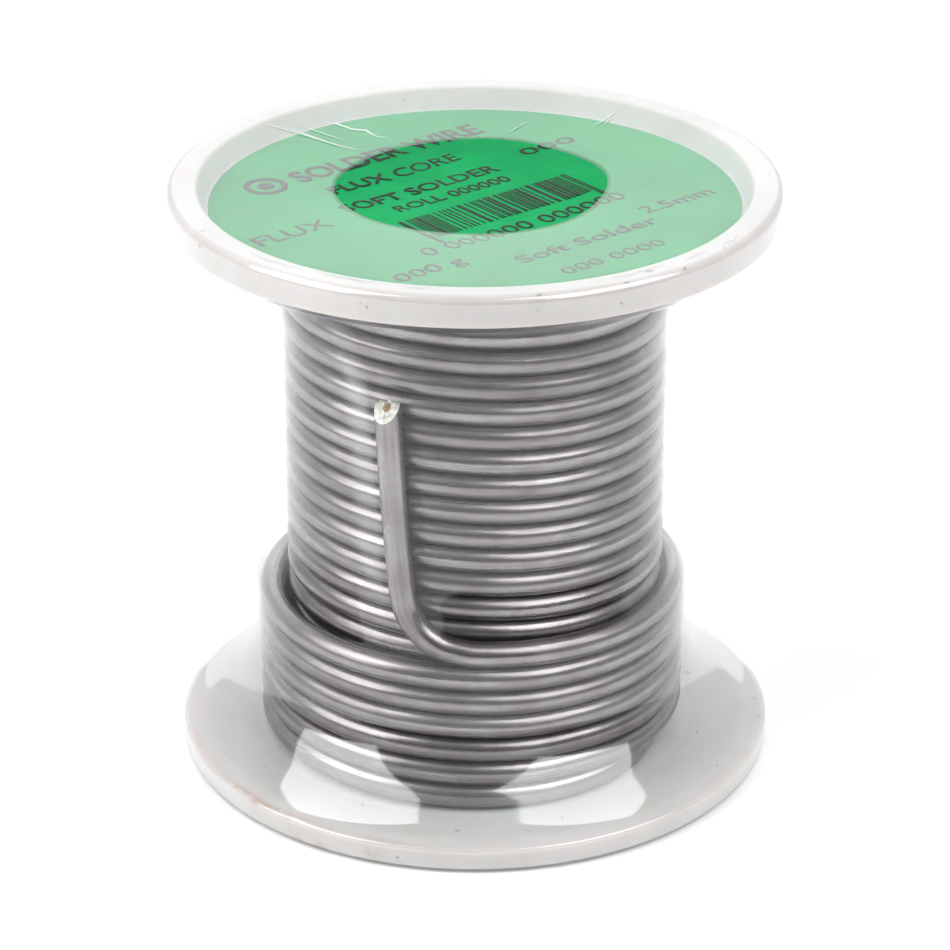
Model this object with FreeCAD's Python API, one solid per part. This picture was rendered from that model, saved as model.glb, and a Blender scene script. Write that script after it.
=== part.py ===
import FreeCAD, Part
import math
import os

os.makedirs("parts", exist_ok=True)

# A spool of solder wire in its shrink film. The spool stands on its base flange, with its
# axis on Z and the lowest point of the film at Z = 0. All sizes are in millimetres.

# Spool mouldings
flange_radius = 29.1
spool_height = 58.4
rim_width = 2.4
rim_edge_radius = 0.45
recess_wall_run = 1.2
base_web_thickness = 1.0
base_recess_depth = 0.5
base_rim_height = 2.1
base_land_slope_run = 5.0
cap_web_thickness = 1.0
cap_recess_depth = 2.0
cap_rim_height = 3.1

# Barrel, in two halves that press together
barrel_radius = 13.5
bore_radius = 11.5
spigot_length = 8.0
spigot_end_gap = 0.2
anchor_hole_clearance = 0.3
anchor_hole_web_gap = 0.5
anchor_hole_angle = 75.0

# Solder wire and its layers of turns
wire_diameter = 2.5
flux_core_diameter = 0.8
turn_pitch = 2.53
full_turns_of_outer_layer = 6
part_turn_angle = 300.0
part_turn_end_angle = -95.5
part_turn_edge_radius = 1.15
groove_depth = 0.6

# Free end of the wire: the corners of its route past the outer layer's last turn, as the
# distance out from the middle of that turn, the angle round the spool, and the height above it
tail_corners = [(0.08, -100.6, 0.0), (0.18, -110.3, 3.5), (0.18, -112.0, 12.5), (0.18, -114.2, 29.0)]
tail_tip_angle = -113.6
tail_tip_height = 24.9
tail_snip_lean = 38.0
tail_snip_turn = -120.0

# The share of a run beside a corner of the free end's route that the corner's arc takes
arc_share = 0.45

# Label
label_thickness = 0.1
label_edge_gap = 0.1

# Shrink film
film_thickness = 0.1
film_opening_radius = 12.6
film_cap_dish_depth = 0.7
film_base_dish_depth = 0.3
film_dish_bend = 18.0
film_fold_radius = 0.5
film_under_rim_drop = 0.2
film_upper_flare_run = 8.8
film_upper_flare_drop = 2.8
film_upper_waist_drop = 10.8
film_lower_waist_height = 4.4
film_lower_flare_inset = 2.6
film_slack = 0.15
film_step_height = 5.6
film_flare_bend = 6.0
film_step_bend = 3.0
film_tent_half_width = 7.6
film_tent_ridge_half_width = 3.0
film_tent_clearance = 0.15
film_tent_end_drop = 4.5

# Heights that follow from those sizes
base_z = film_thickness
cap_z = base_z + spool_height
base_web_bottom = base_z + base_recess_depth
base_web_top = base_web_bottom + base_web_thickness
base_rim_top = base_z + base_rim_height
cap_web_top = cap_z - cap_recess_depth
cap_web_bottom = cap_web_top - cap_web_thickness
cap_rim_bottom = cap_z - cap_rim_height
split_z = (base_web_top + cap_web_bottom) / 2

# Radii that follow
wire_radius = wire_diameter / 2
rim_inner_radius = flange_radius - rim_width
recess_floor_radius = rim_inner_radius - recess_wall_run
joint_radius = (barrel_radius + bore_radius) / 2
inner_layer_radius = barrel_radius + wire_radius
middle_layer_radius = inner_layer_radius + wire_diameter
outer_layer_radius = middle_layer_radius + wire_diameter
inner_layer_outside = inner_layer_radius + wire_radius
middle_layer_outside = middle_layer_radius + wire_radius
outer_layer_outside = outer_layer_radius + wire_radius
film_radius = flange_radius + film_thickness

# Turns that fit between the flanges
turns_in_full_layer = int((cap_web_bottom - base_web_top) / turn_pitch)
outer_layer_top = base_web_top + full_turns_of_outer_layer * turn_pitch
last_turn_z = outer_layer_top + wire_radius

UP = FreeCAD.Vector(0, 0, 1)
CENTRE = FreeCAD.Vector(0, 0, 0)
FULL_TURN = 360.0
SAME_PLACE = 1e-6


def section_point(radius, height):
    """A point of a turned part's section."""
    return FreeCAD.Vector(radius, 0, height)


def around(radius, angle_deg, height):
    """A point at a radius and an angle round the spool."""
    angle = math.radians(angle_deg)
    return FreeCAD.Vector(radius * math.cos(angle), radius * math.sin(angle), height)


def rounded_wire(corners, closed):
    """Straight runs through corners of (point, radius), with a tangent arc at each radius."""
    count = len(corners)
    edges = []
    first = None
    last = None
    for i, (point, radius) in enumerate(corners):
        at_end = not closed and i in (0, count - 1)
        if at_end or radius == 0:
            start = point
            stop = point
            arc = None
        else:
            before = corners[i - 1][0] - point
            after = corners[(i + 1) % count][0] - point
            inside = before.getAngle(after)
            before.normalize()
            after.normalize()
            reach = radius / math.tan(inside / 2)
            start = point + before * reach
            stop = point + after * reach
            middle = before + after
            middle.normalize()
            crown = point + middle * (radius / math.sin(inside / 2) - radius)
            arc = Part.Arc(start, crown, stop).toShape()
        if last is not None and last.distanceToPoint(start) > SAME_PLACE:
            edges.append(Part.LineSegment(last, start).toShape())
        if arc:
            edges.append(arc)
        if first is None:
            first = start
        last = stop
    if closed and last.distanceToPoint(first) > SAME_PLACE:
        edges.append(Part.LineSegment(last, first).toShape())
    return Part.Wire(edges)


def turned(outline, angle=FULL_TURN):
    """A solid turned about the spool's axis from corners of (radius, height, edge radius)."""
    corners = []
    for radius, height, edge_radius in outline:
        point = section_point(radius, height)
        if not corners or corners[-1][0].distanceToPoint(point) > SAME_PLACE:
            corners.append((point, edge_radius))
    face = Part.Face(rounded_wire(corners, closed=True))
    return face.revolve(CENTRE, UP, angle)


def drum(radius, low, high):
    """A plain cylinder on the spool's axis."""
    return Part.makeCylinder(radius, high - low, section_point(0, low), UP)


def spool_base_half():
    """Base flange with its web and rim, and the lower barrel with the socket."""
    socket_floor = split_z - spigot_length - spigot_end_gap
    body = turned([
        (bore_radius, base_web_bottom, 0),
        (recess_floor_radius, base_web_bottom, 0),
        (rim_inner_radius, base_z, rim_edge_radius),
        (flange_radius, base_z, rim_edge_radius),
        (flange_radius, base_rim_top, rim_edge_radius),
        (rim_inner_radius, base_rim_top, 0),
        (rim_inner_radius - base_land_slope_run, base_web_top, 0),
        (barrel_radius, base_web_top, 0),
        (barrel_radius, split_z, 0),
        (joint_radius, split_z, 0),
        (joint_radius, socket_floor, 0),
        (bore_radius, socket_floor, 0),
    ])
    hole_radius = wire_radius + anchor_hole_clearance
    hole_z = base_web_top + anchor_hole_web_gap + hole_radius
    direction = around(1, anchor_hole_angle, 0)
    start = around(bore_radius / 2, anchor_hole_angle, hole_z)
    anchor_hole = Part.makeCylinder(hole_radius, barrel_radius, start, direction)
    return body.cut(anchor_hole)


def spool_cap_half():
    """Cap flange with its deep dished face and broad rim, and the upper barrel with the spigot."""
    return turned([
        (bore_radius, cap_web_top, 0),
        (bore_radius, split_z - spigot_length, 0),
        (joint_radius, split_z - spigot_length, 0),
        (joint_radius, split_z, 0),
        (barrel_radius, split_z, 0),
        (barrel_radius, cap_web_bottom, 0),
        (rim_inner_radius, cap_web_bottom, 0),
        (rim_inner_radius, cap_rim_bottom, 0),
        (flange_radius, cap_rim_bottom, rim_edge_radius),
        (flange_radius, cap_z, rim_edge_radius),
        (rim_inner_radius, cap_z, rim_edge_radius),
        (recess_floor_radius, cap_web_top, 0),
    ])


def face_label():
    """Round paper label on the floor of the cap's recess, across the barrel's end."""
    return drum(recess_floor_radius - label_edge_gap, cap_web_top, cap_web_top + label_thickness)


def layer_sleeve(inside, outside, turns, top):
    """The outer shape of a layer of turns: a sleeve with a groove between each two turns."""
    corners = [(section_point(inside, base_web_top), 0), (section_point(inside, top), 0)]
    edges = [Part.LineSegment(corners[0][0], corners[1][0]).toShape()]
    groove_radius = outside - groove_depth
    start = section_point(groove_radius, base_web_top)
    outer_edges = []
    for turn in range(turns):
        middle_z = base_web_top + (turn + 0.5) * turn_pitch
        end_z = top if turn == turns - 1 else base_web_top + (turn + 1) * turn_pitch
        end = section_point(groove_radius, end_z)
        outer_edges.append(Part.Arc(start, section_point(outside, middle_z), end).toShape())
        start = end
    edges.append(Part.LineSegment(corners[1][0], start).toShape())
    edges += reversed(outer_edges)
    edges.append(Part.LineSegment(section_point(groove_radius, base_web_top), corners[0][0]).toShape())
    face = Part.Face(Part.Wire(Part.__sortEdges__(edges)))
    return face.revolve(CENTRE, UP, FULL_TURN)


def full_layer_top():
    """The height that the turns of a full layer reach."""
    return base_web_top + turns_in_full_layer * turn_pitch


def solder_layer_outer():
    """The outer layer's whole turns, with the part turn that runs on into the free end."""
    ring = layer_sleeve(middle_layer_outside, outer_layer_outside, full_turns_of_outer_layer, outer_layer_top)
    part_turn = turned([
        (middle_layer_outside, outer_layer_top, 0),
        (outer_layer_outside - groove_depth, outer_layer_top, 0),
        (outer_layer_outside - groove_depth, outer_layer_top + groove_depth, 0),
        (outer_layer_outside, outer_layer_top + wire_radius, 0),
        (outer_layer_outside, outer_layer_top + wire_diameter, part_turn_edge_radius),
        (middle_layer_outside, outer_layer_top + wire_diameter, 0),
    ], part_turn_angle)
    part_turn.rotate(CENTRE, UP, part_turn_end_angle)
    return ring.fuse(part_turn).removeSplitter()


def tail_path():
    """The free end's middle line: straight runs joined by tangent arcs."""
    points = [around(outer_layer_radius, part_turn_end_angle, last_turn_z)]
    for out, angle, rise in tail_corners:
        points.append(around(outer_layer_radius + out, angle, last_turn_z + rise))
    corners = [(points[0], 0)]
    radii = []
    for before, point, after in zip(points, points[1:], points[2:]):
        turn = math.pi - (before - point).getAngle(after - point)
        shorter = min((before - point).Length, (after - point).Length)
        radius = arc_share * shorter / math.tan(turn / 2)
        radii.append(round(radius, 1))
        corners.append((point, radius))
    corners.append((points[-1], 0))
    print("free end: bend radii", radii)
    return rounded_wire(corners, closed=False)


def swept(path, diameter):
    """A round bar of a given diameter along a path."""
    start = path.OrderedVertexes[0].Point
    direction = path.OrderedEdges[0].tangentAt(path.OrderedEdges[0].FirstParameter)
    circle = Part.Wire(Part.makeCircle(diameter / 2, start, direction))
    return path.makePipeShell([circle], True, True)


def snip():
    """The half space above the slanting cut at the free end's tip."""
    size = 4 * wire_diameter
    block = Part.makeBox(2 * size, 2 * size, 2 * size, FreeCAD.Vector(-size, -size, 0))
    block.rotate(CENTRE, FreeCAD.Vector(0, 1, 0), tail_snip_lean)
    block.rotate(CENTRE, UP, tail_snip_turn)
    block.translate(around(outer_layer_radius, tail_tip_angle, last_turn_z + tail_tip_height))
    return block


def free_end():
    """The wire's free end, and the flux core inside it."""
    path = tail_path()
    bar = swept(path, wire_diameter)
    core = swept(path, flux_core_diameter)
    wire_area = math.pi * wire_radius ** 2
    print("free end: volume over section times length", round(bar.Volume / (wire_area * path.Length), 4))
    cut = snip()
    return bar.cut(core).cut(cut), core.cut(cut)


def film_outline(inset):
    """The film's section from the upper opening to the lower one, moved in by an inset."""
    top = cap_z + film_thickness - inset
    bottom = inset
    rim = film_radius - inset
    middle = middle_layer_outside + film_slack + film_thickness - inset
    outer = outer_layer_outside + film_slack + film_thickness - inset
    under_rim = cap_rim_bottom - film_under_rim_drop + inset
    over_base = base_rim_top + film_thickness - inset
    fold = film_fold_radius - inset
    return [
        (0, top - film_cap_dish_depth, 0),
        (film_opening_radius, top - film_cap_dish_depth, 0),
        (rim_inner_radius - rim_edge_radius, top, film_dish_bend),
        (rim, top, fold),
        (rim, under_rim, fold),
        (film_radius - film_upper_flare_run, under_rim - film_upper_flare_drop, film_flare_bend),
        (middle, under_rim - film_upper_waist_drop, film_flare_bend),
        (middle, last_turn_z + film_step_height - inset, film_flare_bend),
        (outer, last_turn_z + film_slack - inset, film_step_bend),
        (outer, over_base + film_lower_waist_height, film_flare_bend),
        (film_radius - film_lower_flare_inset, over_base, film_step_bend),
        (rim, over_base, fold),
        (rim, bottom, fold),
        (rim_inner_radius - rim_edge_radius, bottom, film_dish_bend),
        (film_opening_radius, bottom + film_base_dish_depth, 0),
        (0, bottom + film_base_dish_depth, 0),
    ]


def film_tent(inset):
    """The ridge that the film makes over the free end, closed at the top by a slope."""
    deep = inner_layer_outside
    ridge = outer_layer_outside + tail_corners[-1][0] + film_tent_clearance + film_thickness - inset
    foot_half = film_tent_half_width - inset
    ridge_half = film_tent_ridge_half_width - inset / 2
    low_z = last_turn_z - wire_radius
    ridge_z = last_turn_z + tail_tip_height + wire_diameter - inset
    plan = [(deep, -foot_half), (ridge, -ridge_half), (ridge, ridge_half), (deep, foot_half)]
    side = [(deep, low_z), (ridge, low_z), (ridge, ridge_z), (deep, ridge_z + film_tent_end_drop)]
    plan_points = [FreeCAD.Vector(x, y, low_z) for x, y in plan]
    side_points = [FreeCAD.Vector(x, -film_tent_half_width, z) for x, z in side]
    plan_face = Part.Face(Part.makePolygon(plan_points + plan_points[:1]))
    side_face = Part.Face(Part.makePolygon(side_points + side_points[:1]))
    first = tail_corners[1]
    middle_angle = (first[1] + tail_tip_angle) / 2
    lean = math.degrees(math.atan2(
        outer_layer_radius * math.radians(first[1] - tail_tip_angle), tail_tip_height - first[2]))
    column = plan_face.extrude(FreeCAD.Vector(0, 0, ridge_z + film_tent_end_drop - low_z))
    tent = column.common(side_face.extrude(FreeCAD.Vector(0, 2 * film_tent_half_width, 0)))
    tent.rotate(section_point(0, (low_z + ridge_z) / 2), FreeCAD.Vector(1, 0, 0), lean)
    tent.rotate(CENTRE, UP, middle_angle)
    return tent


def shrink_film():
    """One thin sleeve over the whole spool, open in the middle of both faces."""
    outside = turned(film_outline(0)).fuse(film_tent(0))
    inside = turned(film_outline(film_thickness)).fuse(film_tent(film_thickness))
    openings = drum(film_opening_radius, -spool_height, 2 * spool_height)
    return outside.cut(inside).cut(openings)


solder_tail, flux_core = free_end()

nodes = {
    "spool_base_half": spool_base_half(),
    "spool_cap_half": spool_cap_half(),
    "face_label": face_label(),
    "solder_layer_inner": layer_sleeve(
        barrel_radius, inner_layer_outside, turns_in_full_layer, full_layer_top()),
    "solder_layer_middle": layer_sleeve(
        inner_layer_outside, middle_layer_outside, turns_in_full_layer, full_layer_top()),
    "solder_layer_outer": solder_layer_outer(),
    "solder_tail": solder_tail,
    "flux_core": flux_core,
    "shrink_film": shrink_film(),
}

for name, shape in nodes.items():
    if len(shape.Solids) == 1:
        shape = shape.Solids[0]
    if shape.Volume < 0:
        shape.reverse()
    print(name, "solids", len(shape.Solids), "valid", shape.isValid(), "volume", round(shape.Volume, 1))
    shape.exportStep("parts/" + name + ".step")
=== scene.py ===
import math
import random

import bmesh
import bpy
from mathutils import Matrix, Vector


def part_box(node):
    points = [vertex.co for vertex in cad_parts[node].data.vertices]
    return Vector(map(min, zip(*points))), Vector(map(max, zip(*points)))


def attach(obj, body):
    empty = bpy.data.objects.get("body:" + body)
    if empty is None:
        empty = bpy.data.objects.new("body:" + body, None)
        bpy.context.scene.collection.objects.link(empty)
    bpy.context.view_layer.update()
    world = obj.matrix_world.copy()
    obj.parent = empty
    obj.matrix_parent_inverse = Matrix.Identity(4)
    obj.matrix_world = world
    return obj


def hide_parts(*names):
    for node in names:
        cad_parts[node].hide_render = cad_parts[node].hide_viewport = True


# A spool of solder wire in its shrink film. Sizes below are in millimetres, as in part.py.

MM = 0.001
DOWN_THE_AXIS = Vector((0, 0, 1))

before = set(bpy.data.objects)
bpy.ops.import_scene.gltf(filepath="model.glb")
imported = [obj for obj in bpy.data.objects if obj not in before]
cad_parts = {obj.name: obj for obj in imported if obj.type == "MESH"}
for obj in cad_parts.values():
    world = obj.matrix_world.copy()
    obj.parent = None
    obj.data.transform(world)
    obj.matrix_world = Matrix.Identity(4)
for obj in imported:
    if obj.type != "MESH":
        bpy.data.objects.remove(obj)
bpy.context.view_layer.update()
rng = random.Random(7)


def top_of(node):
    """The highest Z of a CAD node, in millimetres."""
    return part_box(node)[1].z / MM


def bottom_of(node):
    """The lowest Z of a CAD node, in millimetres."""
    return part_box(node)[0].z / MM


def radius_of(node):
    """The outer radius of a turned CAD node, in millimetres."""
    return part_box(node)[1].x / MM


flange_radius = radius_of("spool_cap_half")
base_z = bottom_of("spool_base_half")
cap_z = top_of("spool_cap_half")
split_z = top_of("spool_base_half")
base_web_top = bottom_of("solder_layer_inner")
label_z = bottom_of("face_label")
label_radius = radius_of("face_label")
inner_outside = radius_of("solder_layer_inner")
middle_outside = radius_of("solder_layer_middle")
outer_outside = radius_of("solder_layer_outer")
film_top = top_of("shrink_film")
film_radius = radius_of("shrink_film")

wire_diameter = outer_outside - middle_outside
wire_radius = wire_diameter / 2
inner_radius = inner_outside - wire_radius
middle_radius = middle_outside - wire_radius
outer_radius = outer_outside - wire_radius


# ---------------------------------------------------------------- camera

# Fitted to the outlines of both flanges
camera_at = (0.0, -0.3345, 0.1864)
camera_looks_down = 25.4
camera_lens = 143.2
camera_sensor = 36.0

camera_data = bpy.data.cameras.new("camera")
camera_data.sensor_width = camera_sensor
camera_data.lens = camera_lens
camera_data.clip_start = 0.01
camera_data.clip_end = 20.0
camera = bpy.data.objects.new("camera", camera_data)
camera.location = camera_at
camera.rotation_euler = (math.radians(90 - camera_looks_down), 0.0, 0.0)
bpy.context.scene.collection.objects.link(camera)
bpy.context.scene.camera = camera


# ---------------------------------------------------------------- mesh helpers

def smooth_step(x):
    """0 below 0, 1 above 1 and a smooth rise between."""
    x = min(max(x, 0.0), 1.0)
    return x * x * (3 - 2 * x)


def add_object(name, data, material=None):
    """A new object in the scene, with a material if one is given."""
    obj = bpy.data.objects.new(name, data)
    bpy.context.scene.collection.objects.link(obj)
    if material is not None:
        data.materials.append(material)
    return obj


def mesh_from(name, points, faces):
    """A smooth mesh from points in millimetres."""
    mesh = bpy.data.meshes.new(name)
    mesh.from_pydata([(x * MM, y * MM, z * MM) for x, y, z in points], [], faces)
    mesh.validate()
    mesh.polygons.foreach_set("use_smooth", [True] * len(mesh.polygons))
    mesh.update()
    return mesh


def arc_points(before, corner, after, radius, steps):
    """Points of the arc that rounds a section's corner."""
    to_before = (before - corner).normalized()
    to_after = (after - corner).normalized()
    inside = to_before.angle(to_after)
    reach = radius / math.tan(inside / 2)
    centre = corner + (to_before + to_after).normalized() * (radius / math.sin(inside / 2))
    start = corner + to_before * reach - centre
    stop = corner + to_after * reach - centre
    turn = start.angle_signed(stop)
    points = []
    for i in range(steps + 1):
        points.append(centre + Matrix.Rotation(-turn * i / steps, 2) @ start)
    return points


def section(outline, closed, steps=6, run=None):
    """A section's points from corners of (radius, height, edge radius)."""
    corners = [(Vector((r, z)), edge) for r, z, edge in outline]
    points = []
    for i, (corner, edge) in enumerate(corners):
        if edge == 0 or (not closed and i in (0, len(corners) - 1)):
            points.append(corner)
        else:
            before = corners[i - 1][0]
            after = corners[(i + 1) % len(corners)][0]
            points += arc_points(before, corner, after, edge, steps)
    if run is None:
        return points
    filled = [points[0]]
    for a, b in zip(points, points[1:]):
        count = max(1, math.ceil((b - a).length / run))
        for k in range(1, count + 1):
            filled.append(a.lerp(b, k / count))
    return filled


def lathe(name, outline, segments=192, steps=6, run=None):
    """A closed ring turned about the Z axis from a closed section."""
    ring = section(outline, True, steps, run)
    points = []
    for j in range(segments):
        angle = 2 * math.pi * j / segments
        for p in ring:
            points.append((p.x * math.cos(angle), p.x * math.sin(angle), p.y))
    n = len(ring)
    faces = []
    for j in range(segments):
        k = (j + 1) % segments
        for i in range(n):
            m = (i + 1) % n
            faces.append((j * n + i, k * n + i, k * n + m, j * n + m))
    return mesh_from(name, points, faces)


def outward(mesh):
    """Turns a closed mesh's faces outward."""
    bm = bmesh.new()
    bm.from_mesh(mesh)
    bmesh.ops.recalc_face_normals(bm, faces=bm.faces)
    bm.to_mesh(mesh)
    bm.free()
    mesh.polygons.foreach_set("use_smooth", [True] * len(mesh.polygons))
    mesh.update()


def sharp_by_angle(mesh, degrees):
    """Keeps the edges sharper than an angle sharp in the shading."""
    mesh.set_sharp_from_angle(angle=math.radians(degrees))


def spokes(away, side, count):
    """Unit steps from a line to the corners of a regular polygon round it."""
    turns = [2 * math.pi * k / count for k in range(count)]
    return [away * math.cos(turn) + side * math.sin(turn) for turn in turns]


def tube_faces(rings, sides):
    """The faces of a closed tube whose points come ring by ring."""
    faces = []
    for i in range(rings - 1):
        a = i * sides
        b = a + sides
        for k in range(sides):
            m = (k + 1) % sides
            faces.append((a + k, a + m, b + m, b + k))
    last = (rings - 1) * sides
    faces.append(tuple(range(last, last + sides)))
    faces.append(tuple(reversed(range(sides))))
    return faces


def evaluated_mesh(obj):
    """A new mesh of an object as it is evaluated."""
    bpy.context.view_layer.update()
    return bpy.data.meshes.new_from_object(obj.evaluated_get(bpy.context.evaluated_depsgraph_get()))


def mesh_of_curve(curve):
    """A curve's mesh. The curve is used up."""
    holder = add_object(curve.name, curve)
    mesh = evaluated_mesh(holder)
    bpy.data.objects.remove(holder)
    bpy.data.curves.remove(curve)
    return mesh


def thicken(obj, thickness, offset):
    """Gives a sheet its thickness in millimetres, outward with offset 1 and inward with -1."""
    solid = obj.modifiers.new("thickness", "SOLIDIFY")
    solid.thickness = thickness * MM
    solid.offset = offset


# ---------------------------------------------------------------- materials

def new_material(name, **values):
    """A material with one Principled shader and the values set on its own sockets."""
    material = bpy.data.materials.new(name)
    material.use_nodes = True
    tree = material.node_tree
    shader = tree.nodes["Principled BSDF"]
    for socket, value in values.items():
        shader.inputs[socket.replace("_", " ")].default_value = value
    return material, tree, shader


def place_of(tree):
    """The shaded point's position socket."""
    return tree.nodes.new("ShaderNodeNewGeometry").outputs["Position"]


def parts_of(tree, vector):
    """The X, Y and Z sockets of a vector socket."""
    node = tree.nodes.new("ShaderNodeSeparateXYZ")
    tree.links.new(vector, node.inputs["Vector"])
    return node.outputs


def noise_node(tree, vector, scale, detail=3.0, roughness=0.55):
    """A noise texture on a vector socket."""
    node = tree.nodes.new("ShaderNodeTexNoise")
    node.inputs["Scale"].default_value = scale
    node.inputs["Detail"].default_value = detail
    node.inputs["Roughness"].default_value = roughness
    tree.links.new(vector, node.inputs["Vector"])
    return node


def ramp_node(tree, factor, stops):
    """A colour ramp on a factor socket, from stops of (position, colour)."""
    node = tree.nodes.new("ShaderNodeValToRGB")
    ramp = node.color_ramp
    while len(ramp.elements) < len(stops):
        ramp.elements.new(0.5)
    for element, (position, colour) in zip(ramp.elements, stops):
        element.position = position
        element.color = (*colour, 1.0)
    tree.links.new(factor, node.inputs["Fac"])
    return node


def map_node(tree, value, from_low, from_high, to_low, to_high):
    """A value moved from one range to another, clamped."""
    node = tree.nodes.new("ShaderNodeMapRange")
    for socket, number in zip(("From Min", "From Max", "To Min", "To Max"),
                              (from_low, from_high, to_low, to_high)):
        node.inputs[socket].default_value = number
    tree.links.new(value, node.inputs["Value"])
    return node


def math_node(tree, operation, first, second):
    """A math node on sockets or plain numbers."""
    node = tree.nodes.new("ShaderNodeMath")
    node.operation = operation
    for socket, value in zip(node.inputs, (first, second)):
        if isinstance(value, (int, float)):
            socket.default_value = value
        else:
            tree.links.new(value, socket)
    return node


def mix_node(tree, factor, first, second, blend="MIX"):
    """A colour mix of two colours or sockets."""
    node = tree.nodes.new("ShaderNodeMix")
    node.data_type = "RGBA"
    node.blend_type = blend
    sockets = node.inputs[0], node.inputs[6], node.inputs[7]
    for socket, value in zip(sockets, (factor, first, second)):
        if isinstance(value, (int, float)):
            socket.default_value = value
        elif isinstance(value, tuple):
            socket.default_value = (*value, 1.0)
        else:
            tree.links.new(value, socket)
    return node


def bump_node(tree, height, distance, strength=1.0, normal=None):
    """A bump from a height socket, with its distance in millimetres."""
    node = tree.nodes.new("ShaderNodeBump")
    node.inputs["Distance"].default_value = distance * MM
    node.inputs["Strength"].default_value = strength
    tree.links.new(height, node.inputs["Height"])
    if normal is not None:
        tree.links.new(normal, node.inputs["Normal"])
    return node


def colour_from(tree, shader, noise, stops):
    """The base colour from a noise, through a ramp."""
    tone = ramp_node(tree, noise.outputs["Fac"], stops)
    tree.links.new(tone.outputs["Color"], shader.inputs["Base Color"])


def roughness_from(tree, shader, noise, low, high):
    """The roughness from a noise."""
    rough = map_node(tree, noise.outputs["Fac"], 0.3, 0.7, low, high)
    tree.links.new(rough.outputs["Result"], shader.inputs["Roughness"])


def relief_from(tree, shader, noise, distance, strength):
    """Surface relief from a noise."""
    bump = bump_node(tree, noise.outputs["Fac"], distance, strength)
    tree.links.new(bump.outputs["Normal"], shader.inputs["Normal"])


def solder_material():
    """Drawn tin-lead wire: streaks along its length, small pits, dull patches."""
    material, tree, shader = new_material("solder_metal", Metallic=1.0, Roughness=0.3)
    grain = tree.nodes.new("ShaderNodeAttribute")
    grain.attribute_name = "grain"
    vector = grain.outputs["Vector"]
    position = place_of(tree)
    streaks = noise_node(tree, vector, 1.6, 4.0, 0.6)
    patches = noise_node(tree, position, 260.0, 3.0, 0.55)
    pits = noise_node(tree, position, 2100.0, 2.0, 0.5)
    tone = ramp_node(tree, streaks.outputs["Fac"], [
        (0.30, (0.215, 0.200, 0.206)), (0.52, (0.325, 0.308, 0.314)), (0.75, (0.41, 0.395, 0.40))])
    dull = ramp_node(tree, patches.outputs["Fac"], [
        (0.34, (0.76, 0.74, 0.72)), (0.60, (1.0, 1.0, 1.0))])
    colour = mix_node(tree, 0.8, tone.outputs["Color"], dull.outputs["Color"], "MULTIPLY")
    tree.links.new(colour.outputs[2], shader.inputs["Base Color"])
    roughness_from(tree, shader, streaks, 0.36, 0.24)
    streak_bump = bump_node(tree, streaks.outputs["Fac"], 0.05, 0.6)
    pit_bump = bump_node(tree, pits.outputs["Fac"], 0.03, 0.35, streak_bump.outputs["Normal"])
    tree.links.new(pit_bump.outputs["Normal"], shader.inputs["Normal"])
    return material


def cut_material():
    """Freshly cut solder: brighter than the drawn surface, with fine shear lines."""
    material, tree, shader = new_material("solder_cut", Metallic=1.0, Roughness=0.42)
    position = place_of(tree)
    stretch = tree.nodes.new("ShaderNodeMapping")
    stretch.inputs["Scale"].default_value = (1.0, 1.0, 0.2)
    tree.links.new(position, stretch.inputs["Vector"])
    shear = noise_node(tree, stretch.outputs["Vector"], 3200.0, 2.0, 0.5)
    colour_from(tree, shader, shear, [(0.3, (0.36, 0.35, 0.33)), (0.6, (0.66, 0.65, 0.61))])
    relief_from(tree, shader, shear, 0.04, 0.5)
    return material


def flux_material():
    """Amber flux core."""
    material, tree, shader = new_material("flux_core", Roughness=0.35)
    cloud = noise_node(tree, place_of(tree), 3000.0)
    colour_from(tree, shader, cloud, [(0.35, (0.20, 0.12, 0.04)), (0.65, (0.45, 0.30, 0.12))])
    return material


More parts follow.
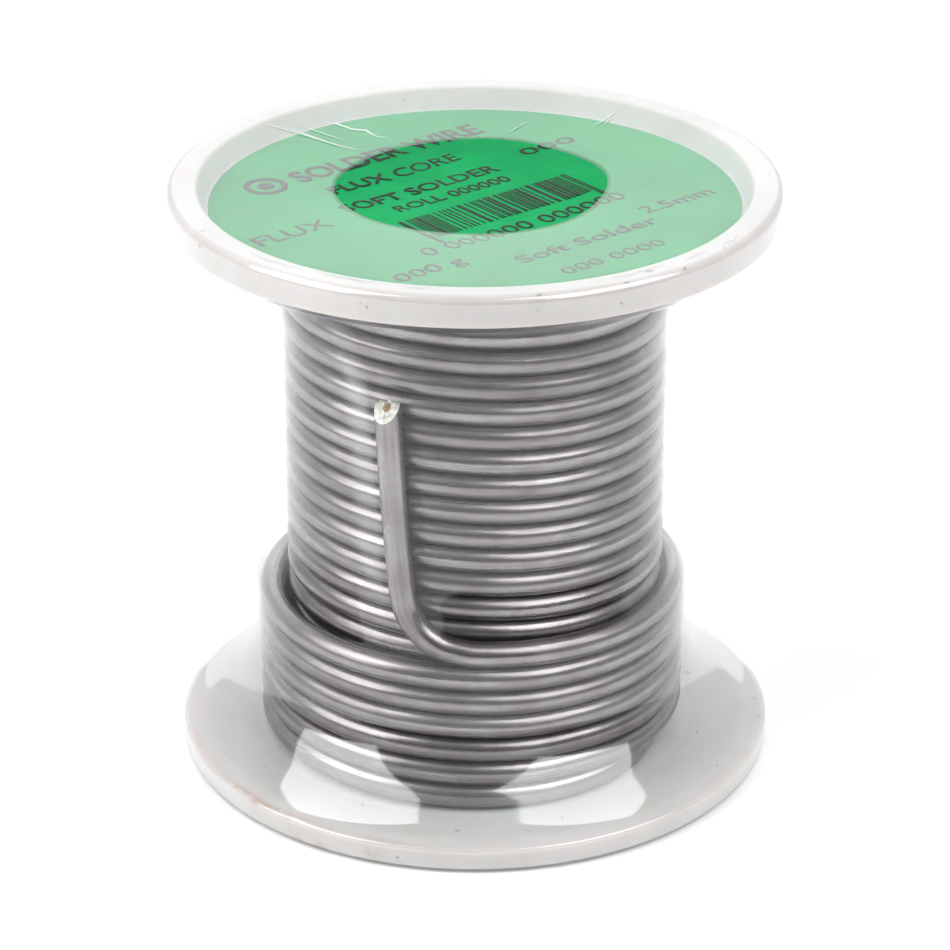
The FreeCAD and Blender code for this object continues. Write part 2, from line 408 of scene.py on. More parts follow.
def plastic_material():
    """Milky white moulded plastic with faint mottling, specks and a rubbed-in stain."""
    material, tree, shader = new_material(
        "spool_plastic", Subsurface_Weight=0.5, Subsurface_Scale=0.0025, Specular_IOR_Level=0.4)
    position = place_of(tree)
    cloud = noise_node(tree, position, 90.0, 4.0, 0.6)
    tone = ramp_node(tree, cloud.outputs["Fac"], [
        (0.32, (0.60, 0.595, 0.575)), (0.62, (0.68, 0.675, 0.66))])
    specks = noise_node(tree, position, 900.0, 1.0, 0.4)
    dirt = ramp_node(tree, specks.outputs["Fac"], [
        (0.205, (0.44, 0.40, 0.35)), (0.250, (1.0, 1.0, 1.0))])
    colour = mix_node(tree, 0.7, tone.outputs["Color"], dirt.outputs["Color"], "MULTIPLY")
    # The stain is a broken line on the base rim's upper edge: near stain_radius from the axis,
    # and within stain_reach of stain_middle, in metres
    stain_radius = 0.0273
    stain_width = 0.0006
    stain_wander = 0.0022
    stain_middle = (-0.0185, -0.0218, 0.002)
    stain_reach = (0.004, 0.021)
    x, y, _ = parts_of(tree, position)
    flat = tree.nodes.new("ShaderNodeCombineXYZ")
    tree.links.new(x, flat.inputs["X"])
    tree.links.new(y, flat.inputs["Y"])
    radius = tree.nodes.new("ShaderNodeVectorMath")
    radius.operation = "LENGTH"
    tree.links.new(flat.outputs["Vector"], radius.inputs[0])
    away = tree.nodes.new("ShaderNodeVectorMath")
    away.operation = "DISTANCE"
    tree.links.new(position, away.inputs[0])
    away.inputs[1].default_value = stain_middle
    wander = noise_node(tree, position, 260.0, 4.0, 0.7)
    shifted = math_node(tree, "MULTIPLY", wander.outputs["Fac"], stain_wander)
    offset = math_node(tree, "SUBTRACT", radius.outputs["Value"], shifted.outputs["Value"])
    from_line = math_node(tree, "SUBTRACT", offset.outputs["Value"], stain_radius)
    gap = math_node(tree, "ABSOLUTE", from_line.outputs["Value"], 0.0)
    line = map_node(tree, gap.outputs["Value"], 0.0, stain_width, 1.0, 0.0)
    near = map_node(tree, away.outputs["Value"], *stain_reach, 1.0, 0.0)
    broken = map_node(tree, wander.outputs["Fac"], 0.42, 0.62, 0.1, 0.8)
    stain = math_node(tree, "MULTIPLY", line.outputs["Result"], near.outputs["Result"])
    stain = math_node(tree, "MULTIPLY", stain.outputs["Value"], broken.outputs["Result"])
    stained = mix_node(tree, stain.outputs["Value"], colour.outputs[2], (0.45, 0.27, 0.15))
    tree.links.new(stained.outputs[2], shader.inputs["Base Color"])
    relief_from(tree, shader, noise_node(tree, position, 500.0, 3.0, 0.5), 0.04, 0.3)
    roughness_from(tree, shader, cloud, 0.30, 0.45)
    return material


def label_material():
    """Green printed paper."""
    material, tree, shader = new_material("label_green", Roughness=0.7, Specular_IOR_Level=0.15)
    position = place_of(tree)
    cloud = noise_node(tree, position, 110.0, 3.0, 0.6)
    colour_from(tree, shader, cloud, [(0.35, (0.001, 0.30, 0.085)), (0.62, (0.004, 0.36, 0.105))])
    relief_from(tree, shader, noise_node(tree, position, 2400.0, 3.0, 0.6), 0.02, 0.3)
    return material


def ink_material():
    """Dark print."""
    material, tree, shader = new_material("label_ink", Roughness=0.6, Specular_IOR_Level=0.2)
    cloud = noise_node(tree, place_of(tree), 1600.0)
    colour_from(tree, shader, cloud, [(0.3, (0.022, 0.030, 0.022)), (0.7, (0.045, 0.055, 0.042))])
    return material


# How much of what is behind it one face of the film covers, seen square on: at its foot, up the
# sides, and how much more over the rim and the top. The heights between are in metres.
foot_cover = 0.062
side_cover = 0.027
top_cover_more = 0.028
foot_ends = (0.0085, 0.0125)
top_starts = (0.0545, 0.0570)
grazing_cover = 0.9


def film_material():
    """Clear film: a mirror that covers more of what is behind it the flatter it is seen."""
    material, tree, shader = new_material(
        "clear_film", Metallic=1.0, Roughness=0.06, Base_Color=(0.95, 0.96, 0.97, 1.0))
    facing = tree.nodes.new("ShaderNodeLayerWeight")
    facing.inputs["Blend"].default_value = 0.5
    grazing = math_node(tree, "POWER", facing.outputs["Facing"], 5.0)
    position = place_of(tree)
    height = parts_of(tree, position)["Z"]
    foot = map_node(tree, height, *foot_ends, foot_cover, side_cover)
    top = map_node(tree, height, *top_starts, 0.0, top_cover_more)
    least = math_node(tree, "ADD", foot.outputs["Result"], top.outputs["Result"])
    sheen = math_node(tree, "MULTIPLY", grazing.outputs["Value"], grazing_cover)
    cover = math_node(tree, "ADD", least.outputs["Value"], sheen.outputs["Value"])
    tree.links.new(cover.outputs["Value"], shader.inputs["Alpha"])
    roughness_from(tree, shader, noise_node(tree, position, 130.0, 2.0, 0.5), 0.04, 0.09)
    return material


def crease_glint_material():
    """Where the film is gathered into pleats: less clear, and near-white as a painted highlight
    that stands for the lamps' glints on the folds.
    """
    # The near-white base colour is a painted highlight: the glints of the lamps on the folds.
    material, tree, shader = new_material(
        "film_crease_glint", Metallic=0.0, Base_Color=(0.9, 0.92, 0.92, 1.0), Alpha=0.6, IOR=1.5)
    roughness_from(tree, shader, noise_node(tree, place_of(tree), 1500.0), 0.12, 0.35)
    return material


solder = solder_material()
cut = cut_material()
crease_glint = crease_glint_material()
flux = flux_material()
plastic = plastic_material()
green = label_material()
ink = ink_material()
clear = film_material()


# ---------------------------------------------------------------- wire

# The wire starts in the anchor hole in the barrel and runs clockwise, seen from above: up the
# inner layer, down the middle one, and up the first turns of the outer one to the free end.
# Angles are in degrees, anticlockwise from +X seen from above. Travel is the clockwise angle
# from the start.
turn_steps = 24
step_angle = 360 / turn_steps
turn_pitch = 2.53
touching_pitch = 2.49
lay_wobble = 0.02
start_angle = 75.0
start_z = 3.65
cap_flush_z = 54.25
base_flush_z = base_web_top + wire_radius
# Travels where the layers end and start
inner_end = 7200.0
climb_end = 7255.0
middle_start = 7415.0
middle_end = 14100.0
step_out_start = 14110.0
step_out_end = 14170.0
outer_zero = 14205.0
outer_end = 16365.0
# How the middle and the outer layer slope and swing, and how far the outer one lies off the axis
middle_level = 102.88
middle_swing = 1.59
middle_swing_at = 65.0
outer_level = 2.93
outer_pitch = 2.545
outer_swing = 0.225
outer_swing_at = 75.0
outer_off_centre = -0.35
front_angle = -90.0
# The wire's start in the anchor hole, as (radius, angle, height)
lead_in_points = [(11.9, 79.0, start_z), (13.6, 78.5, start_z)]
# Free end, as (radius, angle, height), after the last full turn
tail_points = [
    (19.80, -94.5, 18.50),
    (19.85, -99.2, 18.80),
    (19.90, -105.3, 20.2),
    (19.93, -109.7, 22.7),
    (19.93, -110.8, 26.8),
    (19.93, -112.0, 32.0),
    (19.93, -113.1, 38.0),
    (19.93, -114.1, 44.9),
]


def around(radius, angle, height):
    """A point at a radius and an angle round the spool."""
    turn = math.radians(angle)
    return Vector((radius * math.cos(turn), radius * math.sin(turn), height))


def stepped_out(travel):
    """How far the wire has moved from the middle layer to the outer one, from 0 to 1."""
    return smooth_step((travel - step_out_start) / (step_out_end - step_out_start))


def winding_radius(travel):
    """The radius of the wire's middle line at a travel."""
    climb = smooth_step((travel - inner_end) / (climb_end - inner_end))
    radius = inner_radius + (middle_radius - inner_radius) * climb
    return radius + (outer_radius - middle_radius) * stepped_out(travel)


def middle_height(angle):
    """The middle layer's height: down one pitch a turn, and swinging up and down as it goes."""
    swing = middle_swing * math.sin(math.radians(angle + middle_swing_at))
    return middle_level + turn_pitch * angle / 360 - swing


def outer_height(angle, turns):
    """The outer layer's height, with its own smaller swing."""
    def swing(a):
        return outer_swing * math.sin(2 * math.radians(a + outer_swing_at))
    return outer_level + outer_pitch * turns - swing(angle) + swing(front_angle)


def winding_route():
    """Control points of the coiled wire, in millimetres."""
    control_out = 1 / math.cos(math.radians(step_angle / 2))
    below = {}
    above = {}
    points = []
    for step in range(int(outer_end / step_angle) + 1):
        travel = step * step_angle
        angle = start_angle - travel
        place = step % turn_steps
        if travel <= inner_end:
            height = start_z + turn_pitch * travel / 360
        elif travel <= middle_start:
            height = cap_flush_z
            above[place] = height
        elif travel <= middle_end:
            late = 1 - smooth_step((travel - middle_start) / 360)
            lift = (cap_flush_z - middle_height(start_angle - middle_start)) * late
            height = middle_height(angle) + lift
            if place in above:
                height = min(height, above[place] - touching_pitch)
            height = max(height, base_flush_z)
            above[place] = height
        elif travel <= step_out_end:
            height = base_flush_z
        else:
            height = outer_height(angle, (travel - outer_zero) / 360)
            height = max(height, below.get(place, base_flush_z - touching_pitch) + touching_pitch)
            below[place] = height
        radius = winding_radius(travel) * control_out
        point = around(radius, angle, height + rng.uniform(-lay_wobble, lay_wobble))
        point.x += outer_off_centre * stepped_out(travel)
        points.append(point)
    return points


def wire_route():
    """The whole route: the wire's start in the anchor hole, the winding and the free end."""
    start = [around(*place) for place in lead_in_points]
    return start + winding_route() + [around(*place) for place in tail_points]


def evaluated(route, resolution):
    """Points read from the route's NURBS spline, in millimetres."""
    curve = bpy.data.curves.new("wire_route", "CURVE")
    curve.dimensions = "3D"
    curve.resolution_u = resolution
    spline = curve.splines.new("NURBS")
    spline.points.add(len(route) - 1)
    for point, place in zip(spline.points, route):
        point.co = (place.x * MM, place.y * MM, place.z * MM, 1.0)
    spline.order_u = 3
    spline.use_endpoint_u = True
    line = mesh_of_curve(curve)
    found = [v.co / MM for v in line.vertices]
    bpy.data.meshes.remove(line)
    return found


def line_frames(line):
    """For each point of a line, the direction along it and one away from the spool's axis."""
    count = len(line)
    frames = []
    for i, point in enumerate(line):
        along = (line[min(i + 1, count - 1)] - line[max(i - 1, 0)]).normalized()
        away = Vector((point.x, point.y, 0)).normalized()
        away = away - along * away.dot(along)
        frames.append([along, away])
    for i in range(count - 2, -1, -1):
        along, away = frames[i]
        if away.length < 0.6:
            away = frames[i + 1][1]
            away = away - along * away.dot(along)
        frames[i][1] = away.normalized()
    frames[-1][1].normalize()
    return frames


wire_sides = 24
route_detail = 3
grain_per_length = 0.045
# The cutters leave two facets: a broad one and a small one behind it, as (lean, turn, distance
# of its plane from the tip's middle). The tube's last full ring lies cut_back below the tip.
tip_rise = 43.2
cut_back = 2.2
facets = [(46.0, -122.0, 0.0), (40.0, 75.0, 0.62)]
# Rings on the cut, as (share of the wire's radius, depth under the facets). The first is the
# cut's rim, and the last is the floor of the flux core's pit.
cut_rings = [(1.0, 0.0), (0.93, -0.03), (0.75, 0.0), (0.55, 0.0), (0.34, 0.0), (0.31, 0.10)]
flux_rings = [(0.28, 0.60), (0.28, 0.09), (0.20, 0.05)]


def facet_normal(lean, turn):
    """The direction that a facet of the cut faces."""
    leaned = Matrix.Rotation(math.radians(lean), 3, "Y") @ DOWN_THE_AXIS
    return Matrix.Rotation(math.radians(turn), 3, "Z") @ leaned


def tip_reach(start, along, tip):
    """How far a line along the wire runs before it meets the first facet of the cut."""
    reaches = []
    for lean, turn, out in facets:
        normal = facet_normal(lean, turn)
        reaches.append(((tip - start).dot(normal) + out) / along.dot(normal))
    return min(reaches)


def rings_on_cut(below, forward, tip, offsets, rings):
    """Points ring by ring where lines along the wire meet the cut."""
    points = []
    for share, sink in rings:
        for offset in offsets:
            start = below + offset * wire_radius * share
            points.append(start + forward * (tip_reach(start, forward, tip) - sink))
    return points


def solder_wire():
    """The wire as one tube with the two-faceted cut at its free end, and its middle line."""
    line = evaluated(wire_route(), route_detail)
    while line[-2].z > tip_rise - cut_back:
        line.pop()
    along = (line[-1] - line[-2]).normalized()
    line[-1] = line[-2] + along * ((tip_rise - cut_back - line[-2].z) / along.z)
    tip = line[-1] + along * (cut_back / along.z)
    points = []
    lengths = []
    length = 0.0
    for i, (point, (forward, away)) in enumerate(zip(line, line_frames(line))):
        if i:
            length += (point - line[i - 1]).length
        offsets = spokes(away, forward.cross(away), wire_sides)
        points += [point + offset * wire_radius for offset in offsets]
        lengths.append(length)
    points += rings_on_cut(line[-1], forward, tip, offsets, cut_rings)
    lengths += [length + cut_back] * len(cut_rings)
    mesh = mesh_from("solder_wire", points, tube_faces(len(lengths), wire_sides))
    grain = []
    for length in lengths:
        for k in range(wire_sides):
            turn = 2 * math.pi * k / wire_sides
            grain += [math.cos(turn), math.sin(turn), length * grain_per_length]
    mesh.attributes.new("grain", "FLOAT_VECTOR", "POINT").data.foreach_set("vector", grain)
    obj = add_object("solder_wire", mesh, solder)
    mesh.materials.append(cut)
    cut_from = len(line) * wire_sides
    for face in mesh.polygons:
        if min(face.vertices) >= cut_from:
            face.material_index = 1
    sharp_by_angle(mesh, 35)
    return obj, line + [tip]


wire, wire_line = solder_wire()
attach(wire, "root")
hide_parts("solder_layer_inner", "solder_layer_middle", "solder_layer_outer", "solder_tail")
[p * MM for p in wire_line]


def flux_plug():
    """The flux core, where the cut lays it open."""
    below, tip = wire_line[-2], wire_line[-1]
    forward = (tip - below).normalized()
    away = forward.orthogonal().normalized()
    offsets = spokes(away, forward.cross(away), wire_sides)
    points = rings_on_cut(below, forward, tip, offsets, flux_rings)
    mesh = mesh_from("flux_plug", points, tube_faces(len(flux_rings), wire_sides))
    outward(mesh)
    sharp_by_angle(mesh, 40)
    return add_object("flux_plug", mesh, flux)


plug = flux_plug()
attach(plug, "root")
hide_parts("flux_core")


# ---------------------------------------------------------------- spool

bore_radius = 11.5
barrel_radius = inner_outside - wire_diameter
joint_radius = (bore_radius + barrel_radius) / 2
rim_inner = 26.7
rim_crest = 26.3
recess_floor = 25.5
base_web_bottom = 0.6
base_rim_top = 2.2
label_sink = 0.25
cap_web_top = label_z - label_sink
cap_web_bottom = 55.5
cap_rim_bottom = 55.4
spigot = 8.0
spigot_gap = 0.2
section_run = 3.0
anchor_radius = wire_radius + 0.3
anchor_z = base_web_top + 0.5 + anchor_radius

# Sections of the two halves, as (radius, height, edge radius)
base_mesh = lathe("spool_base", [
    (bore_radius, base_web_bottom, 0.15),
    (recess_floor, base_web_bottom, 0.3),
    (rim_inner, base_z, 0.45),
    (flange_radius, base_z, 0.45),
    (flange_radius, base_rim_top, 0.5),
    (rim_inner, base_rim_top, 2.0),
    (rim_inner - 5.0, base_web_top, 2.0),
    (barrel_radius, base_web_top, 0.25),
    (barrel_radius, split_z, 0.1),
    (joint_radius, split_z, 0.1),
    (joint_radius, split_z - spigot - spigot_gap, 0.1),
    (bore_radius, split_z - spigot - spigot_gap, 0.1),
], run=section_run)
outward(base_mesh)


def drilled(mesh, radius, start, end):
    """The mesh with a round hole through it."""
    sides = 48
    along = (end - start).normalized()
    away = along.orthogonal().normalized()
    offsets = spokes(away, along.cross(away), sides)
    rims = [place + offset * radius for place in (start, end) for offset in offsets]
    pin_mesh = mesh_from("drill", rims, tube_faces(2, sides))
    outward(pin_mesh)
    body = add_object("blank", mesh, plastic)
    pin = add_object("drill", pin_mesh, plastic)
    hole = body.modifiers.new("hole", "BOOLEAN")
    hole.operation = "DIFFERENCE"
    hole.object = pin
    result = evaluated_mesh(body)
    for spare in (body, pin):
        bpy.data.objects.remove(spare)
    result.name = mesh.name + "_drilled"
    sharp_by_angle(result, 35)
    return result


base_mesh = drilled(base_mesh, anchor_radius, around(bore_radius - 2.0, start_angle, anchor_z),
                    around(barrel_radius + 0.4, start_angle, anchor_z))
base = add_object("spool_base", base_mesh, plastic)
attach(base, "root")
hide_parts("spool_base_half")

cap_mesh = lathe("spool_cap", [
    (bore_radius, cap_web_top, 0.15),
    (bore_radius, split_z - spigot, 0.1),
    (joint_radius, split_z - spigot, 0.1),
    (joint_radius, split_z, 0.1),
    (barrel_radius, split_z, 0.1),
    (barrel_radius, cap_web_bottom, 0.25),
    (rim_inner, cap_web_bottom, 0.02),
    (rim_inner + 0.3, cap_rim_bottom, 0.1),
    (flange_radius, cap_rim_bottom, 0.6),
    (flange_radius, cap_z, 0.9),
    (rim_crest, cap_z, 0.45),
    (recess_floor, cap_web_top, 0.3),
], run=section_run)
outward(cap_mesh)
cap = add_object("spool_cap", cap_mesh, plastic)
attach(cap, "root")
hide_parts("spool_cap_half")


# ---------------------------------------------------------------- label

label_edge = label_radius - 0.15
label_rise = 0.1
paper_thickness = 0.09
# Over the open end of the barrel the paper sags, from where the barrel's wall starts to carry it
label_sag = 0.14
sag_ends = 9.6
sag_run = 2.2


def label_height(radius):
    """The label's upper face: it sags a little over the barrel's open end."""
    sag = label_sag * (1 - smooth_step((radius - sag_ends) / sag_run))
    return cap_web_top + label_rise - sag


def paper_disc():
    """The round label, laid over the recess floor and the open end of the barrel."""
    segments = 128
    radii = [0.02, 1.5, 3.0, 4.5, 6.0, 7.2, 8.4, 9.2]
    radii += [sag_ends + 0.2 * k for k in range(12)]
    radii += [12.5, 14.5, 17.0, 19.5, 22.0, 24.0, 25.0, label_edge - 0.03, label_edge]
    waves = [(rng.uniform(0, 6.28), rng.uniform(0.008, 0.02)) for _ in range(4)]
    points = []
    for drop in (0.0, paper_thickness):
        for radius in radii:
            for j in range(segments):
                angle = 2 * math.pi * j / segments
                height = label_height(radius) - drop
                for k, (phase, size) in enumerate(waves):
                    swell = math.sin(math.pi * radius / label_edge)
                    height += size * math.sin((k + 2) * angle + phase) * swell
                points.append((radius * math.cos(angle), radius * math.sin(angle), height))
    n = len(radii)
    faces = []
    for first in (0, n * segments):
        for i in range(n - 1):
            for j in range(segments):
                k = (j + 1) % segments
                a = first + i * segments
                b = a + segments
                faces.append((a + j, b + j, b + k, a + k))
        faces.append(tuple(first + j for j in range(segments)))
    upper = (n - 1) * segments
    lower = n * segments + upper
    for j in range(segments):
        k = (j + 1) % segments
        faces.append((upper + j, lower + j, lower + k, upper + k))
    mesh = mesh_from("face_paper", points, faces)
    outward(mesh)
    sharp_by_angle(mesh, 40)
    return mesh


label = add_object("face_paper", paper_disc(), green)
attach(label, "root")
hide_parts("face_label")

# The print: plain words and marks, as (words, left end of the line, letter height, length of
# the line, stroke widening). The lines run at one slant across the label.
print_slant = 38.5
print_shift = 0.5
print_lift = 0.045
print_thickness = 0.03
print_lines = [
    ("SOLDER WIRE", (-16.6, 4.2), 2.9, 22.5, 0.030),
    ("FLUX CORE", (-13.2, 1.2), 1.9, 15.2, 0.012),
    ("SOFT SOLDER", (-12.0, -3.6), 1.9, 18.6, 0.012),
    ("ROLL 000000", (-7.0, -3.2), 1.6, 13.6, 0.008),
    ("0 000000 000000", (-4.2, -14.6), 2.0, 24.0, 0.0),
    ("FLUX", (-19.6, -12.2), 2.3, 8.4, 0.008),
    ("000 g", (-6.6, -20.8), 1.9, 7.6, 0.008),
    ("Soft Solder", (4.4, -16.3), 1.8, 16.6, 0.006),
    ("000 0000", (8.4, -18.9), 1.6, 12.0, 0.0),
    ("2.5mm", (16.2, -3.9), 1.8, 8.6, 0.006),
    ("000", (5.0, 11.6), 1.7, 6.6, 0.006),
]
bars_at = (-4.0, -10.0)
bars_length = 20.0
bars_height = 5.2
bar_widths = (0.16, 0.16, 0.30, 0.44)
bar_gaps = (0.16, 0.18, 0.32, 0.46)
guard_reach = 0.8
guard_extra = 1.4
ring_mark_at = (-20.0, 3.7)
ring_mark = ((1.55, 2.15), (0.0, 0.85))


def slanted(origin, right, up):
    """A point on the label, from steps along and across the print's slant."""
    turn = math.radians(print_slant)
    x = origin[0] + right * math.cos(turn) - up * math.sin(turn)
    y = origin[1] + right * math.sin(turn) + up * math.cos(turn) + print_shift
    return x, y


def words_mesh(words, stroke):
    """Flat letters as points and faces, with a letter height of about 1."""
    curve = bpy.data.curves.new("words", "FONT")
    curve.body = words
    curve.size = 1.37
    curve.offset = stroke
    curve.resolution_u = 3
    flat = mesh_of_curve(curve)
    bm = bmesh.new()
    bm.from_mesh(flat)
    bmesh.ops.remove_doubles(bm, verts=bm.verts, dist=1e-5)
    bmesh.ops.triangulate(bm, faces=bm.faces)
    bmesh.ops.subdivide_edges(bm, edges=[e for e in bm.edges if e.calc_length() > 0.5], cuts=1)
    bmesh.ops.triangulate(bm, faces=bm.faces)
    points = [v.co.copy() for v in bm.verts]
    faces = [[v.index for v in f.verts] for f in bm.faces]
    bm.free()
    bpy.data.meshes.remove(flat)
    return points, faces


def label_words():
    """Each line of words as flat points and faces."""
    for words, origin, tall, length, stroke in print_lines:
        letters, faces = words_mesh(words, stroke)
        left = min(p.x for p in letters)
        stretch = length / (max(p.x for p in letters) - left)
        yield [slanted(origin, (p.x - left) * stretch, p.y * tall) for p in letters], faces


def label_bars():
    """Each bar of the row of bars as flat points and faces."""
    cuts = 6
    faces = [(2 * k, 2 * k + 1, 2 * k + 3, 2 * k + 2) for k in range(cuts)]
    at = 0.0
    while at < bars_length:
        width = rng.choice(bar_widths)
        below = guard_extra if at < guard_reach or at > bars_length - guard_reach else 0.0
        flat = []
        for k in range(cuts + 1):
            up = -below + (bars_height + below) * k / cuts
            flat += [slanted(bars_at, at, up), slanted(bars_at, at + width, up)]
        yield flat, faces
        at += width + rng.choice(bar_gaps)


def label_mark():
    """The rings of the mark as flat points and faces."""
    steps = 40
    count = 2 * steps
    faces = [(2 * k, 2 * k + 1, (2 * k + 3) % count, (2 * k + 2) % count) for k in range(steps)]
    x, y = ring_mark_at
    for radii in ring_mark:
        turns = [2 * math.pi * k / steps for k in range(steps)]
        yield [(x + r * math.cos(a), y + r * math.sin(a)) for a in turns for r in radii], faces


def label_print():
    """All the print, a hair above the paper, as one thin mesh."""
    points = []
    faces = []
    for pieces in (label_words(), label_bars(), label_mark()):
        for flat, cells in pieces:
            first = len(points)
            points += [(x, y, label_height(math.hypot(x, y)) + print_lift) for x, y in flat]
            faces += [[first + i for i in cell] for cell in cells]
    mesh = mesh_from("label_print", points, faces)
    bm = bmesh.new()
    bm.from_mesh(mesh)
    bmesh.ops.dissolve_degenerate(bm, dist=1e-8, edges=bm.edges)
    for face in bm.faces:
        if face.normal.z < 0:
            face.normal_flip()
    bm.to_mesh(mesh)
    bm.free()
    obj = add_object("label_print", mesh, ink)
    thicken(obj, print_thickness, -1.0)
    return obj


marks = label_print()
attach(marks, "root")


# ---------------------------------------------------------------- film

film_thickness = 0.02
upper_opening = 12.6
upper_opening_at = (-0.25, 0.05)
lower_opening = 12.6
opening_drop = 0.7
dish_edge = 26.25
film_gap = 0.2
middle_film = middle_outside + film_gap
outer_film = outer_outside + film_gap
# The film's section, as (radius, height, edge radius), from the upper opening to the lower one
film_outline = [
    (upper_opening, film_top - opening_drop, 0),
    (dish_edge, film_top, 18.0),
    (film_radius, film_top, 0.9),
    (film_radius, 55.2, 0.6),
    (20.4, 52.4, 6.0),
    (middle_film, 44.4, 6.0),
    (middle_film, 24.6, 6.0),
    (outer_film, 18.2, 4.0),
    (outer_film, 8.64, 10.2),
    (27.55, 3.22, 8.9),
    (film_radius, 2.3, 0.3),
    (film_radius, 0.0, 0.5),
    (dish_edge, 0.0, 18.0),
    (lower_opening, 0.3, 0),
]
film_segments = 320
film_line = section(film_outline, False, 10, 0.6)
# The tent over the free end: half its width on the coil, half its ridge's width, how far its top
# stands off the outer layer, and the heights over which it rises and falls away
tent_foot = 6.5
tent_ridge = 1.0
tent_off = 0.40
tent_rise = (15.0, 8.0)
tent_fall = (tip_rise + 1.2, 11.0)
ripple_height = 0.02
opening_wander = [(rng.uniform(0, 6.28), 0.30 / (k + 1)) for k in range(6)]
dish_wander = [(rng.uniform(0, 6.28), rng.uniform(-1, 1)) for _ in range(12)]


def tail_angle(height):
    """The free end's angle at a height."""
    low, high = tail_points[3], tail_points[-1]
    share = (height - low[2]) / (high[2] - low[2])
    return low[1] + (high[1] - low[1]) * share


def over_tail(radius, height, angle):
    """The film's radius where it bridges from the coil to the free end, as a tent."""
    away = abs(math.radians((angle - tail_angle(height) + 180) % 360 - 180)) * outer_radius
    rise = 1 - min(max((away - tent_ridge) / (tent_foot - tent_ridge), 0), 1)
    rise = rise * rise * (1.6 - 0.6 * rise)
    rise *= smooth_step((height - tent_rise[0]) / tent_rise[1])
    rise *= 1 - smooth_step((height - tent_fall[0]) / tent_fall[1])
    return radius + max(0.0, outer_outside + tent_off - radius) * rise


def waves_at(turn, waves, first):
    """The sum of sine waves of (phase, size) round the axis, from a first number of waves up."""
    return sum(size * math.sin((k + first) * turn + phase) for k, (phase, size) in enumerate(waves))


def film_point(p, angle, upper):
    """A point of the film at a section point and an angle."""
    turn = math.radians(angle)
    radius, height = p.x, p.y
    x_off, y_off = 0.0, 0.0
    if upper or height < 2.0:
        start = upper_opening if upper else lower_opening
        share = min(max((dish_edge - radius) / (dish_edge - start), 0), 1)
        radius += waves_at(turn, opening_wander, 2) * share * (1 if upper else -1)
        if upper:
            x_off, y_off = upper_opening_at[0] * share, upper_opening_at[1] * share
        ripple = waves_at(turn, dish_wander, 3) * share * (1 - share)
        height += ripple_height * ripple * (1 if upper else -0.4)
    else:
        radius = over_tail(radius, height, angle)
        off = smooth_step((24.0 - height) / 6.0) * smooth_step((height - 3.0) / 6.0)
        x_off = outer_off_centre * off
    return (radius * math.cos(turn) + x_off, radius * math.sin(turn) + y_off, height)


def shrink_film():
    """The film, as a thin closed shell."""
    n = len(film_line)
    highest = cap_z - 3.0
    points = []
    for j in range(film_segments):
        angle = 360 * j / film_segments
        for p in film_line:
            points.append(film_point(p, angle, p.y > highest and p.x < dish_edge))
    faces = []
    for j in range(film_segments):
        k = (j + 1) % film_segments
        for i in range(n - 1):
            faces.append((j * n + i, k * n + i, k * n + i + 1, j * n + i + 1))
    obj = add_object("shrink_wrap", mesh_from("shrink_wrap", points, faces), clear)
    thicken(obj, film_thickness, 1.0)
    return obj


film = shrink_film()
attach(film, "root")
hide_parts("shrink_film")


def dish_height(radius):
    """The upper film's height at a radius."""
    inner = [p for p in film_line if p.y > cap_z - 1.0]
    for a, b in zip(inner, inner[1:]):
        if a.x <= radius <= b.x:
            return a.y + (b.y - a.y) * (radius - a.x) / max(b.x - a.x, 1e-6)
    return film_top - opening_drop


# Pleats in the upper film, as (points in plan, width). Their white material paints the highlights
# along the folds.
pleats = [
    ([(-15.3, 16.2), (-13.3, 15.4), (-12.0, 14.3),
      (-10.6, 14.1), (-9.6, 12.7), (-8.4, 12.4)], 0.30),
    ([(-22.5, 16.2), (-16.7, 12.4), (-11.8, 9.0)], 0.10),
    ([(-19.0, 14.6), (-13.8, 10.4), (-10.9, 8.9)], 0.14),
    ([(-17.8, 15.3), (-14.6, 12.8), (-12.6, 11.4)], 0.08),
    ([(11.5, 14.9), (13.0, 17.0), (14.2, 19.4)], 0.16),
    ([(12.4, 15.0), (13.7, 17.2)], 0.08),
    ([(3.0, 13.6), (5.5, 17.0)], 0.06),
]
pleat_run = 0.35
pleat_across = (-0.5, -0.15, 0.15, 0.5)
# Short pleats along the rim, as (first angle, last angle, radius). Their white material paints the
# broken glints along the rim's edge.
rim_pleat_width = 0.22
rim_pleats = [
    (-137.0, -124.0, 27.4), (-122.0, -108.0, 27.0), (-104.0, -98.0, 27.2),
    (-64.0, -52.0, 27.3), (-47.0, -41.0, 27.6), (-36.0, -30.0, 27.9),
]


def pleat_strip(points, faces, line, width):
    """Adds one crumpled strip that stands a hair above the film."""
    steps = []
    for (ax, ay), (bx, by) in zip(line, line[1:]):
        dx, dy = bx - ax, by - ay
        count = max(2, math.ceil(math.hypot(dx, dy) / pleat_run))
        steps += [(ax + dx * k / count, ay + dy * k / count, dx, dy) for k in range(count)]
    steps.append((*line[-1], steps[-1][2], steps[-1][3]))
    first = len(points)
    last = len(steps) - 1
    for i, (x, y, dx, dy) in enumerate(steps):
        run = math.hypot(dx, dy)
        nx, ny = -dy / run, dx / run
        taper = min(1.0, 3.0 * i / len(steps) + 0.15, 3.0 * (last - i) / len(steps) + 0.15)
        side = rng.uniform(-0.25, 0.25) * width
        for k, share in enumerate(pleat_across):
            px = x + nx * (share * width * taper + side)
            py = y + ny * (share * width * taper + side)
            radius = math.hypot(px - upper_opening_at[0] / 2, py - upper_opening_at[1] / 2)
            lift = 0.03 + (0.06 + 0.05 * rng.random()) * taper * (1 if k in (1, 2) else 0)
            points.append((px, py, min(dish_height(radius) + lift, film_top - 0.005)))
    n = len(pleat_across)
    for i in range(last):
        for k in range(n - 1):
            a = first + i * n + k
            faces.append((a, a + n, a + n + 1, a + 1))


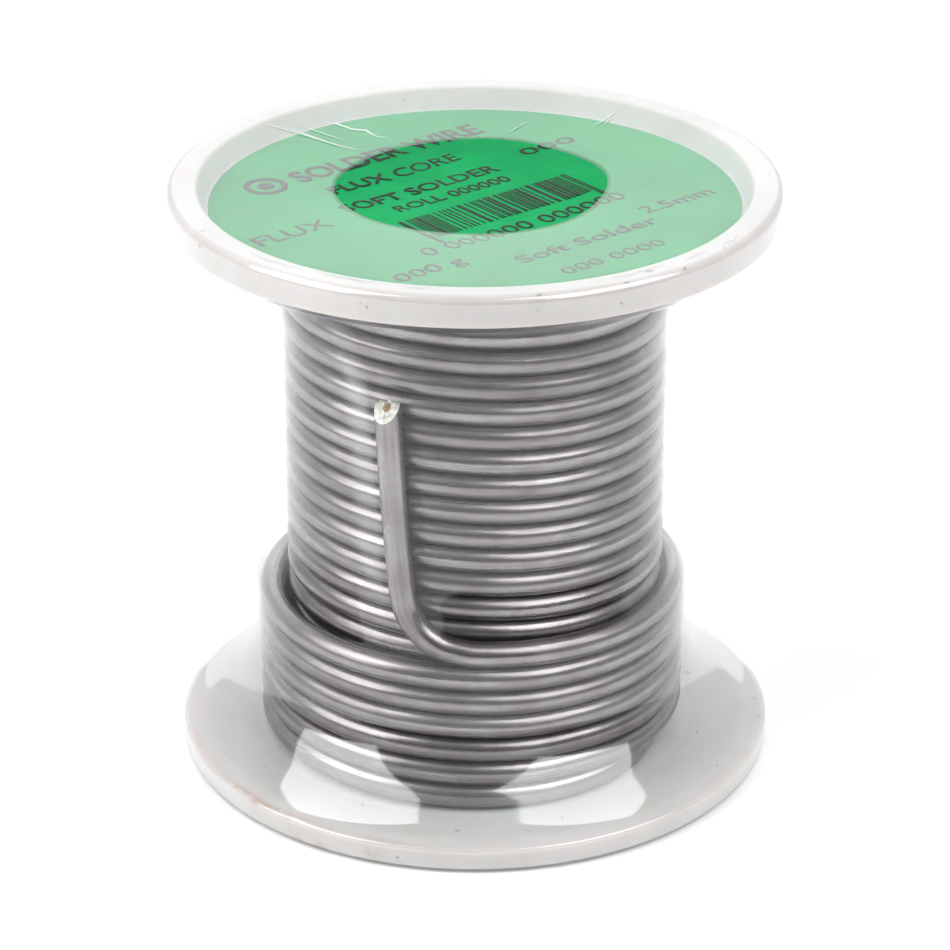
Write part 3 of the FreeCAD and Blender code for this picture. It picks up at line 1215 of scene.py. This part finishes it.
def film_pleats():
    """The pleats as one thin mesh, in the white material that paints their highlights."""
    points = []
    faces = []
    for line, width in pleats:
        pleat_strip(points, faces, line, width)
    for start, stop, radius in rim_pleats:
        count = 6
        line = []
        for k in range(count + 1):
            p = around(radius + rng.uniform(-0.15, 0.15), start + (stop - start) * k / count, 0)
            line.append((p.x, p.y))
        pleat_strip(points, faces, line, rim_pleat_width)
    obj = add_object("film_pleats", mesh_from("film_pleats", points, faces), crease_glint)
    thicken(obj, film_thickness, -1.0)
    return obj


folds = film_pleats()
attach(folds, "root")


# ---------------------------------------------------------------- floor and lights

def floor_material():
    """Matt white with a faint glow, so that the picture's ground is white to its corners."""
    material, tree, shader = new_material(
        "floor_white", Roughness=0.9, Emission_Color=(1.0, 1.0, 1.0, 1.0), Emission_Strength=0.05)
    cloud = noise_node(tree, place_of(tree), 5.0)
    colour_from(tree, shader, cloud, [(0.3, (0.94, 0.94, 0.94)), (0.7, (0.95, 0.95, 0.95))])
    return material


floor_half = 2500.0
floor_gap = 0.2
floor_corners = [(-floor_half, -floor_half, 0), (floor_half, -floor_half, 0),
                 (floor_half, floor_half, 0), (-floor_half, floor_half, 0)]
floor = add_object("floor", mesh_from("floor", floor_corners, [(0, 1, 2, 3)]), floor_material())
floor.location.z = -floor_gap * MM


# The softboxes aim at a point on the spool's axis
aim_height = 30.0


def softbox(name, azimuth, elevation, distance, width, height, power, roll=0.0):
    """An area light that faces the spool. Azimuth 0 is the camera's side, and 90 the right.

    The distance, width and height are in metres, the power in watts and the angles in degrees.
    """
    data = bpy.data.lights.new(name, "AREA")
    data.shape = "RECTANGLE"
    data.size = width
    data.size_y = height
    data.energy = power
    light = add_object(name, data)
    a, e = math.radians(azimuth), math.radians(elevation)
    direction = Vector((math.sin(a) * math.cos(e), -math.cos(a) * math.cos(e), math.sin(e)))
    light.location = direction * distance + Vector((0, 0, aim_height * MM))
    facing = direction.to_track_quat("Z", "Y").to_matrix()
    light.rotation_euler = (facing @ Matrix.Rotation(math.radians(roll), 3, "Z")).to_euler()


softbox("left_softbox", -71.3, 40.7, 0.8, 0.61, 0.74, 4.7, roll=10.0)
softbox("right_softbox", 58.5, 48.4, 0.9, 0.75, 0.62, 4.6, roll=-2.0)
softbox("back_panel", 180, 30, 1.2, 0.9, 0.7, 0.9)

# The studio glows more from behind the spool and from above than from the front
world = bpy.data.worlds.new("studio")
bpy.context.scene.world = world
world.use_nodes = True
sky_tree = world.node_tree
sky = sky_tree.nodes["Background"]
sky.inputs["Color"].default_value = (0.97, 0.98, 1.0, 1)
direction = parts_of(sky_tree, sky_tree.nodes.new("ShaderNodeTexCoord").outputs["Generated"])
behind = map_node(sky_tree, direction["Y"], -0.2, 0.7, 0.0, 0.66)
above = map_node(sky_tree, direction["Z"], 0.3, 1.0, 0.15, 0.62)
glow = math_node(sky_tree, "ADD", behind.outputs["Result"], above.outputs["Result"])
sky_tree.links.new(glow.outputs["Value"], sky.inputs["Strength"])

bpy.context.scene.view_settings.view_transform = "Standard"
